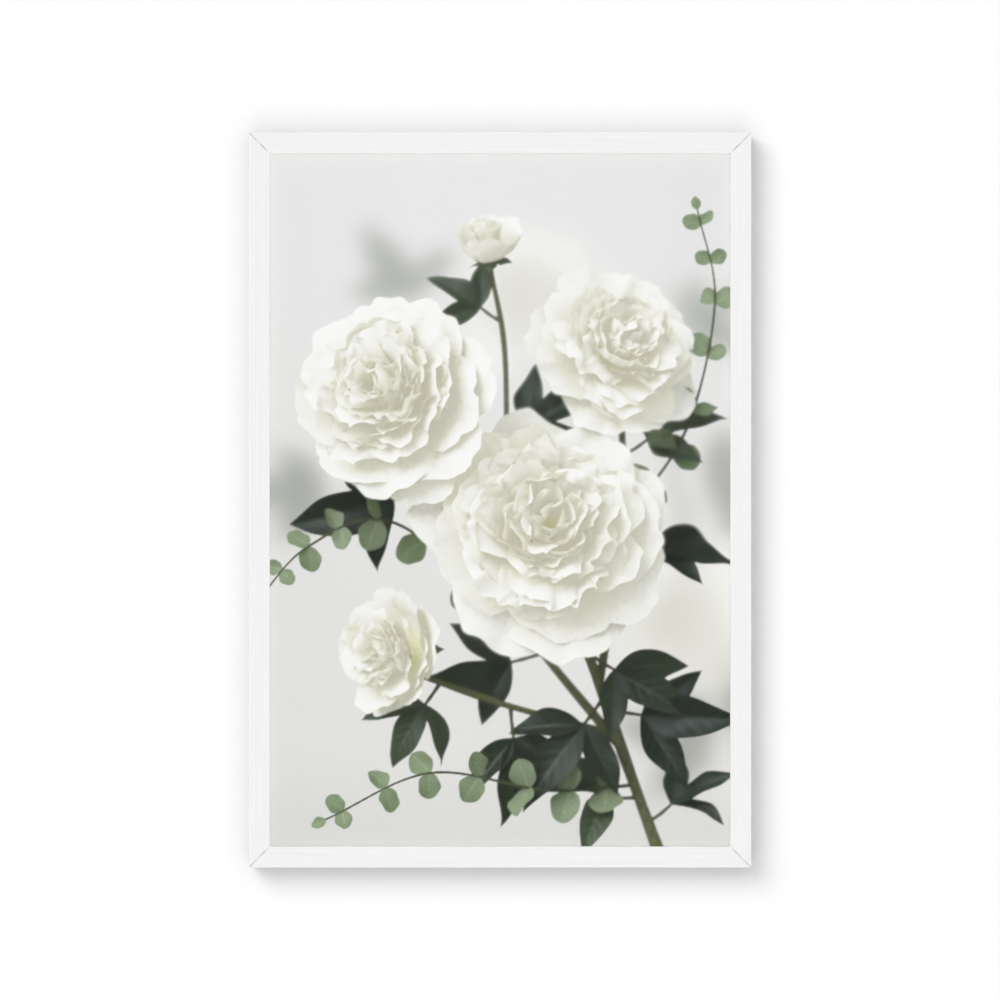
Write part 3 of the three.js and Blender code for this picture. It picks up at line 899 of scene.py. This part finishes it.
def shifted(a, di, dj):
    """The array moved by whole cells, with zeros where nothing moves in."""
    made = np.zeros_like(a)
    rows, columns = a.shape[:2]
    made[max(0, di):rows + min(0, di), max(0, dj):columns + min(0, dj)] = (
        a[max(0, -di):rows + min(0, -di), max(0, -dj):columns + min(0, -dj)]
    )
    return made


def moves(reach):
    """The moves to each cell up to so many rows and columns off, and to the cell itself."""
    return [(i, j) for i in range(-reach, reach + 1) for j in range(-reach, reach + 1)]


def share_light(front, back, weight, ids, reach=2):
    """Evens the traced light out between neighbours on one petal, leaf or stem."""
    totals = [np.zeros_like(front), np.zeros_like(back)]
    whole = np.full(weight.shape, 1e-6)
    for di, dj in moves(reach):
        near = math.exp(-(di * di + dj * dj) / (0.9 * reach * reach))
        same = (shifted(ids + 1, di, dj) == ids + 1) & (ids >= 0)
        share = shifted(weight, di, dj) * same * near
        whole += share
        for total, light in zip(totals, (front, back)):
            total += shifted(light, di, dj) * share[..., None]
    return [total / whole[..., None] for total in totals]


def light_near(lights, ids, i, j, piece):
    """The light next to each point on that petal, leaf or stem, or else at the point itself."""
    totals = [np.zeros((len(i), 3)) for _ in lights]
    whole = np.zeros(len(i))
    for di, dj in moves(1):
        row = np.clip(i + di, 0, ids.shape[0] - 1)
        column = np.clip(j + dj, 0, ids.shape[1] - 1)
        same = ids[row, column] == piece
        whole += same
        for total, light in zip(totals, lights):
            total += light[row, column] * same[:, None]
    lost = whole == 0
    for total, light in zip(totals, lights):
        total[lost] = light[i[lost], j[lost]]
    return [total / np.maximum(whole, 1)[:, None] for total in totals]


def blurred(a, radius):
    """The array softened by a bell curve of that radius, in cells."""
    reach = max(1, int(2.5 * radius))
    weight = np.exp(-0.5 * (np.arange(-reach, reach + 1) / radius) ** 2)
    weight /= weight.sum()
    for axis in (0, 1):
        padded = np.pad(a, [(reach, reach) if k == axis else (0, 0) for k in range(a.ndim)], "edge")
        size = a.shape[axis]
        a = sum(w * np.take(padded, range(k, k + size), axis) for k, w in enumerate(weight))
    return a


def doubled(a):
    """The array on a grid twice as fine."""
    rows, columns = a.shape[:2]
    made = np.zeros((2 * rows - 1, 2 * columns - 1, a.shape[2]))
    made[::2, ::2] = a
    made[1::2, ::2] = (a[1:] + a[:-1]) / 2
    made[:, 1::2] = (made[:, 2::2] + made[:, :-2:2]) / 2
    return made


def without_specks(colour):
    """Lone cells much darker or lighter than all round them are brought back among them."""
    level = colour.sum(-1)
    around = np.stack([shifted(level, i, j) for i, j in moves(1) if i or j])
    around.sort(axis=0)
    wanted = np.clip(level, around[1], around[-2])
    wanted[[0, -1]] = level[[0, -1]]
    wanted[:, [0, -1]] = level[:, [0, -1]]
    return colour * (wanted / np.maximum(level, 1e-6))[..., None]


def trace(plants, columns, rows, rays):
    """What the camera sees of the plants at each corner of a grid: colour, cover and distance."""
    rng = np.random.default_rng(5)
    step = SHEET_WIDE / columns
    z, x = np.meshgrid(
        (np.arange(rows + 1) / rows - 0.5) * SHEET_HIGH,
        (np.arange(columns + 1) / columns - 0.5) * SHEET_WIDE,
        indexing="ij",
    )
    hit, face, place = look(plants, x.ravel(), z.ravel())
    i, j = np.unravel_index(hit, x.shape)
    ids = np.full(x.shape, -1)
    ids[i, j] = plants.piece[face]
    normal, flat, s, t = surface(plants, face, place)

    # Light is traced at every other point, and shared with the points between.
    front, back, weight = np.zeros((*x.shape, 3)), np.zeros((*x.shape, 3)), np.zeros(x.shape)
    traced = (i + j) % 2 == 0
    at = i[traced], j[traced]
    front[at], back[at] = light_at(plants, place[traced], normal[traced], flat[traced], rng, *rays)
    weight[at] = 1
    lights = share_light(front, back, weight, ids)

    colour = np.zeros((*x.shape, 3))
    colour[i, j] = colour_of(plants, face, s, t, normal, *(light[i, j] for light in lights))
    cover = (ids >= 0).astype(float)
    far = np.zeros(x.shape)
    far[i, j] = place[:, 1]

    # Where an outline passes, four more points each take a part.
    edge = np.zeros(x.shape, bool)
    for side, other in ((np.s_[:, 1:], np.s_[:, :-1]), (np.s_[1:], np.s_[:-1])):
        differ = ids[side] != ids[other]
        edge[side] |= differ
        edge[other] |= differ
    i, j = np.nonzero(edge)
    total, covered = colour[i, j], cover[i, j]
    for dx, dz in SUBSAMPLES:
        hit, face, place = look(plants, x[i, j] + dx * step, z[i, j] + dz * step)
        normal, _, s, t = surface(plants, face, place)
        near = light_near(lights, ids, i[hit], j[hit], plants.piece[face])
        total[hit] += colour_of(plants, face, s, t, normal, *near)
        covered[hit] += 1
    colour[i, j] = total / (1 + len(SUBSAMPLES))
    cover[i, j] = covered / (1 + len(SUBSAMPLES))
    return without_specks(colour), cover, far, x, z


def take_picture(columns, rows):
    """The colour at each corner of a grid of cells over the sheet, from its lowest row up."""
    colour, cover, _, x, z = trace(far_spray(), columns // 2, rows // 2, FAR_RAYS)
    soft = FAR_BLUR_MM * (columns // 2) / SHEET_WIDE
    cover = blurred(cover, soft)[..., None]
    seen = blurred(colour, soft) * (1 - HAZE)
    seen = seen + backdrop(x, z) * (1 - cover * (1 - HAZE))
    seen = doubled(seen)

    colour, cover, far, _, _ = trace(near_spray(), columns, rows, NEAR_RAYS)
    seen = colour + seen * (1 - cover[..., None])
    softness = np.clip((far - FOCUS_DEEP) / BLUR_EVERY_MM, 0, 2)
    softness = np.maximum(softness * cover, blurred(softness * cover, 2))[..., None]
    once, twice = (blurred(seen, radius * columns / CELLS[0]) for radius in SOFTENING)
    seen = seen + (once - seen) * np.clip(softness, 0, 1) + (twice - once) * np.clip(softness - 1, 0, 1)
    bright = np.maximum(seen - SHOULDER, 0) / (WHITEST - SHOULDER)
    return np.where(seen > SHOULDER, SHOULDER + (WHITEST - SHOULDER) * (1 - np.exp(-bright)), seen)


# ---- The printed sheet ----

CELLS, QUICK_CELLS = (512, 768), (256, 384)  # columns and rows of the picture's grid
BLOCK = 8  # the largest cell, in cells of the picture's grid
EVEN_ENOUGH = 0.014  # how far a merged cell may differ from the picture, of full scale
PRINT_LIGHT = 1.06  # how much brighter a printed colour comes out in the light on the frame
WHITEST_INK, PAPER_BACK = 0.93, 0.8


def merged_cells(picture, rows, columns):
    """Cells (row, column, size) that cover the picture, large where it changes little."""
    level = np.sqrt(np.clip(picture, 0, 1))
    covered = np.zeros((rows, columns), bool)
    cells = []
    size = BLOCK
    while size > 1:
        f = np.arange(size + 1) / size
        low, high = level[0:rows - size + 1:size], level[size:rows + 1:size]
        a, b, c, d = low[:, :-1:size], low[:, size::size], high[:, :-1:size], high[:, size::size]
        worst = np.zeros(a.shape[:2])
        for i in range(size + 1):
            line = level[i:rows - size + i + 1:size]
            for j in range(size + 1):
                real = line[:, j:columns - size + j + 1:size]
                even = (a * (1 - f[i]) + c * f[i]) * (1 - f[j]) + (b * (1 - f[i]) + d * f[i]) * f[j]
                worst = np.maximum(worst, np.abs(real - even).max(-1))
        taken = ~covered[::size, ::size] & (worst < EVEN_ENOUGH)
        cells += [(i * size, j * size, size) for i, j in np.argwhere(taken).tolist()]
        covered |= np.kron(taken, np.ones((size, size), bool))
        size //= 2
    cells += [(i, j, 1) for i, j in np.argwhere(~covered).tolist()]
    return cells


def make_print(picture, material):
    """The sheet as one closed mesh, with the picture as colours on the corners of its front."""
    rows, columns = picture.shape[0] - 1, picture.shape[1] - 1
    low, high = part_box("print")
    cells = merged_cells(picture, rows, columns)
    used = np.zeros((rows + 1, columns + 1), bool)
    for i, j, size in cells:
        used[i:i + size + 1:size, j:j + size + 1:size] = True
    number = np.full(used.shape, -1)
    number[used] = np.arange(used.sum())
    number = number.tolist()

    def places(i, j, y):
        """Where corners (i, j) of the picture's grid are, in metres."""
        x = low.x + (high.x - low.x) * j / columns
        z = low.z + (high.z - low.z) * i / rows
        return np.stack([x, np.full(len(x), y), z], -1)

    def walk(i, j, di, dj, steps):
        """The corners in use from one corner up to, and without, the next."""
        line = (number[i + di * k][j + dj * k] for k in range(steps))
        return [n for n in line if n >= 0]

    polygons = []
    for i, j, size in cells:
        sides = ((i, j, 0, 1), (i, j + size, 1, 0), (i + size, j + size, 0, -1), (i + size, j, -1, 0))
        polygons.append([n for side in sides for n in walk(*side, size)])
    i, j = np.nonzero(used)
    front, ink = places(i, j, low.y), picture[i, j]
    i, j = np.meshgrid(np.arange(0, rows + 1, BLOCK), np.arange(0, columns + 1, BLOCK), indexing="ij")
    back = places(i.ravel(), j.ravel(), high.y)

    def behind(i, j):
        return len(front) + (i // BLOCK) * (columns // BLOCK + 1) + j // BLOCK

    def rim(i, j, di, dj):
        """The sheet's edge along one block, from the front's corners to the back's."""
        near = walk(i, j, di, dj, BLOCK) + [number[i + di * BLOCK][j + dj * BLOCK]]
        polygons.append(near[::-1] + [behind(i, j), behind(i + di * BLOCK, j + dj * BLOCK)])

    for i in range(0, rows, BLOCK):
        for j in range(0, columns, BLOCK):
            block = ((i, j), (i + BLOCK, j), (i + BLOCK, j + BLOCK), (i, j + BLOCK))
            polygons.append([behind(*corner) for corner in block])
    for j in range(0, columns, BLOCK):
        rim(0, j, 0, 1)
        rim(rows, j + BLOCK, 0, -1)
    for i in range(0, rows, BLOCK):
        rim(i, columns, 1, 0)
        rim(i + BLOCK, 0, -1, 0)

    sheet = add_mesh("printed_sheet", np.concatenate([front, back]).tolist(), polygons, material)
    colours = np.concatenate([ink, np.full((len(back), 3), PAPER_BACK)])
    layer = sheet.data.color_attributes.new("ink", "FLOAT_COLOR", "POINT")
    layer.data.foreach_set("color", np.column_stack([colours, np.ones(len(colours))]).ravel())
    print("print: cells", len(cells), "points", len(colours))
    return sheet


def printed_paper():
    """Matt photo paper: the ink's colour, a fine grain, and the paper's slight tooth."""
    shader = Shader("printed_paper")
    ink = shader.node("Attribute", attribute_name="ink").outputs["Color"]
    grain = shader.noise(shader.place(), 1500, 2, 0.6)
    tooth = shader.noise(shader.place(), 2600, 3, 0.6)
    dark, light = (shader.mix(1, ink, (level,) * 3, "MULTIPLY") for level in (0.965, 1.035))
    return shader.surface(
        shader.mix(shader.spread(grain, 0.25, 0.75), dark, light),
        shader.between(tooth, 0.52, 0.66),
        (tooth, 0.02 * MM, 0.35),
        Specular_IOR_Level=0.2,
    )


def print_picture():
    picture = take_picture(*CELLS)
    sheet = make_print(np.clip(picture / PRINT_LIGHT, 0, WHITEST_INK), printed_paper())
    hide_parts("print")
    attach(sheet, "root")


# ---- Stage and lights ----

WALL_Y = 0.6 * MM
FLOOR_Z = FRAME_CENTRE.z - 0.85
WALL_HALF = 4
ROOM_RADIUS = 12
WORLD = 0.14  # the light that comes from all round
PICTURE_LIGHT = 1.11  # the world's light and the front lamp's together
RAIL_LIGHT = 0.97  # what the rails' own lamps give their front
ASLANT = math.radians(60)  # how far to the side of straight ahead those lamps stand


def plaster():
    """Matt wall paint. The wall has no back, so that the frame's own back can be seen."""
    shader = Shader("plaster")
    roller = shader.noise(shader.place(), 260, 4, 0.6)
    colour = shader.between(roller, (0.497, 0.497, 0.497), (0.503, 0.503, 0.503))
    shader.surface(colour, 0.9, Specular_IOR_Level=0)
    behind = shader.node("NewGeometry").outputs["Backfacing"]
    clear = shader.node("BsdfTransparent")
    return shader.show(shader.node("MixShader", (behind, shader.body, clear)))


def pale_floor():
    shader = Shader("pale_floor")
    cloud = shader.noise(shader.place(), 3, 5, 0.55)
    return shader.surface(shader.between(cloud, (0.8, 0.8, 0.79), (0.84, 0.84, 0.83)), 0.7)


def pale_room():
    """What is seen past the wall and floor, and in gloss. It lights nothing matt."""
    shader = Shader("pale_room")
    shader.tree.nodes.remove(shader.body)
    return shader.show(shader.node("Emission", {"Color": (0.86, 0.86, 0.855), "Strength": 1}))


def make_stage():
    """A wall, a floor and a room round them. They cast no shadow and light nothing matt."""
    half, wide = WALL_HALF, ROOM_RADIUS
    ring = ((-1, -1), (1, -1), (1, 1), (-1, 1))
    wall_points = [(half * a, WALL_Y, half if b > 0 else FLOOR_Z) for a, b in ring]
    floor_points = [(wide * a, wide * b, FLOOR_Z) for a, b in ring]
    room_points = [(x, y, z) for x in (-wide, wide) for y in (-wide, wide) for z in (-wide, wide)]
    room_faces = [(0, 1, 3, 2), (4, 6, 7, 5), (0, 4, 5, 1), (2, 3, 7, 6), (0, 2, 6, 4), (1, 5, 7, 3)]
    wall = add_mesh("wall", wall_points, [(0, 1, 2, 3)], plaster())
    floor = add_mesh("floor", floor_points, [(0, 1, 2, 3)], pale_floor())
    room = add_mesh("room", room_points, room_faces, pale_room())
    for made in (wall, floor, room):
        made.visible_diffuse = False
        made.visible_glossy = made is not wall
        made.visible_transmission = False
        made.visible_shadow = False
    return wall, floor


def add_light(name, kind, energy, lit, shines):
    """A lamp that lights only the collection lit. shines says whether it shows in gloss."""
    data = bpy.data.lights.new(name, kind)
    data.energy = energy
    light = add_object(name, data)
    light.visible_glossy = shines
    light.light_linking.receiver_collection = lit
    return light


def lamp(name, share, towards, angle, lit, shines=True):
    """A far, round, soft lamp.

    share is how bright it makes matt white that faces it, towards is where it stands, and angle
    is how many degrees across it looks.
    """
    light = add_light(name, "SUN", share * math.pi, lit, shines)
    light.data.angle = math.radians(angle)
    light.rotation_euler = Vector(towards).to_track_quat("Z", "Y").to_euler()


def lamp_at(name, share, place, radius, lit):
    """A round lamp at a place. share is how bright it makes matt white at the frame's centre."""
    energy = share * (2 * math.pi * (FRAME_CENTRE - place).length) ** 2
    light = add_light(name, "POINT", energy, lit, False)
    light.data.shadow_soft_size = radius
    light.location = place


def light_group(name, pieces, state):
    """A collection that says what a lamp lights, or leaves out."""
    group = bpy.data.collections.new(name)
    for piece in pieces:
        group.objects.link(piece)
    for member in group.collection_objects:
        member.light_linking.link_state = state
    return group


def make_world():
    world = bpy.data.worlds.new("studio")
    world.use_nodes = True
    background = world.node_tree.nodes["Background"]
    background.inputs["Color"].default_value = (1, 1, 1, 1)
    background.inputs["Strength"].default_value = WORLD
    bpy.context.scene.world = world


def make_lights(wall, floor):
    """A soft even studio.

    The stage has lamps of its own, so that the frame's shadow on the wall can be as deep as in
    the photo. A lamp straight ahead lights the picture evenly up to its edges, and four to the
    sides light the rails alone, their inner edges too.
    """
    rails = [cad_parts[name] for name in RAILS]
    wall_only = light_group("wall_light", (wall,), "INCLUDE")
    floor_only = light_group("floor_light", (floor,), "INCLUDE")
    rails_only = light_group("rail_light", rails, "INCLUDE")
    piece = light_group("piece_light", (wall, floor), "EXCLUDE")
    not_rails = light_group("picture_light", (wall, floor, *rails), "EXCLUDE")
    lamp("wall_front", 1.08, (0, -1, 0), 122, wall_only)
    lamp("wall_upper_left", 0.8, (-0.72, -1, 0.7), 40, wall_only)
    lamp("wall_lower", 0.28, (-0.1, -1, -0.85), 66, wall_only)
    lamp("floor_top", 0.76, (0, 0, 1), 60, floor_only)
    lamp_at("front", PICTURE_LIGHT - WORLD, viewpoint(), 0.15, not_rails)
    for name, x, z in (("left", -1, 0), ("right", 1, 0), ("top", 0, 1), ("bottom", 0, -1)):
        towards = (x * math.sin(ASLANT), -math.cos(ASLANT), z * math.sin(ASLANT))
        lamp("rails_" + name, RAIL_LIGHT / math.cos(ASLANT) / 4, towards, 25, rails_only, False)
    lamp("upper_left", 0.27, (-1, 0.12, 0.55), 30, piece)
    lamp("lower_right", 0.12, (1, 0.12, -0.6), 30, piece)
    lamp("rear", 0.78, (0.42, 1, 0.55), 14, piece)


make_camera()
make_world()
make_lights(*make_stage())
finish_rails()
fill_joints()
finish_fittings()
print_picture()

bpy.context.scene.view_settings.view_transform = "Standard"
